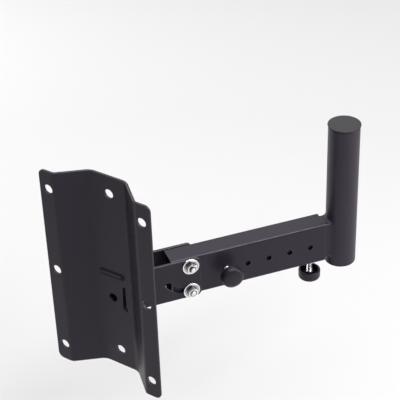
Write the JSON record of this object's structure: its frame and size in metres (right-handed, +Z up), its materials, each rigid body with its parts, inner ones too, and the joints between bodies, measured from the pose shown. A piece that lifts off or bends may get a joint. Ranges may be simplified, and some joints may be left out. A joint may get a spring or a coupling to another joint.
{
  "type": "loudspeaker wall bracket",
  "caption": "Black steel wall bracket with a hat-section plate, a tilting telescopic arm with hand knobs and an upright round pole that stands in a loudspeaker's socket.",
  "frame": {"origin": "centre of the four outer wall holes, in the wall's plane", "axes": "+X out of the wall into the room, +Z up along the plate, +Y completes the right-handed set"},
  "size_m": [0.2609, 0.2412, 0.25],
  "materials": {
    "black_steel": "satin black powder coat",
    "zinc_steel": "bright zinc plate",
    "knob_plastic": "satin moulded",
    "cap_plastic": "fine-grained moulded"
  },
  "bodies": {
    "wall_mount": {"wall_plate": "black_steel", "head_side_cheek": "black_steel", "nut_side_cheek": "black_steel", "cross_plate": "black_steel", "bottom_plate": "black_steel", "pivot_bolt": "zinc_steel", "pivot_washer": "zinc_steel", "pivot_nut": "zinc_steel"},
    "outer_arm": {"outer_tube": "black_steel", "clamp_nut": "zinc_steel", "tilt_bolt": "zinc_steel", "tilt_washer": "zinc_steel", "tilt_nut": "zinc_steel", "tilt_head_washer": "zinc_steel"},
    "inner_arm": {"inner_tube": "black_steel", "speaker_pole": "black_steel", "pole_cap": "cap_plastic", "lock_nut": "zinc_steel"},
    "lock_stem": {"lock_screw": "zinc_steel"},
    "lock_grip": {"lock_knob": "knob_plastic"},
    "clamp_stem": {"clamp_screw": "zinc_steel"},
    "clamp_grip": {"clamp_knob": "knob_plastic"}
  },
  "joints": [
    {"name": "arm_tilt", "type": "hinge", "parent": "wall_mount", "child": "outer_arm", "pos_m": [0.09296, -0.04437, -0.004], "axis": [0.5878, 0.809, 0], "range_deg": [0, 54]},
    {"name": "arm_extension", "type": "slide", "parent": "outer_arm", "child": "inner_arm", "axis": [0.809, -0.5878, 0], "range_m": [0, 0.1]},
    {"name": "lock_screw_travel", "type": "slide", "parent": "outer_arm", "child": "lock_stem", "axis": [0.5878, 0.809, 0], "range_m": [0, 0.00871]},
    {"name": "lock_knob_turn", "type": "hinge", "parent": "lock_stem", "child": "lock_grip", "pos_m": [0.11334, -0.08947, -0.0215], "axis": [0.5878, 0.809, 0], "range_deg": [0, 3132]},
    {"name": "clamp_screw_travel", "type": "slide", "parent": "outer_arm", "child": "clamp_stem", "axis": [0, 0, -1], "range_m": [0, 0.00501]},
    {"name": "clamp_knob_turn", "type": "hinge", "parent": "clamp_stem", "child": "clamp_grip", "pos_m": [0.21269, -0.13137, -0.0626], "axis": [0, 0, -1], "range_deg": [0, 1800]}
  ],
  "couplings": [
    {"joint": "lock_screw_travel", "follows": "lock_knob_turn", "m_per_rad": 0.00015915},
    {"joint": "clamp_screw_travel", "follows": "clamp_knob_turn", "m_per_rad": 0.00015915}
  ]
}
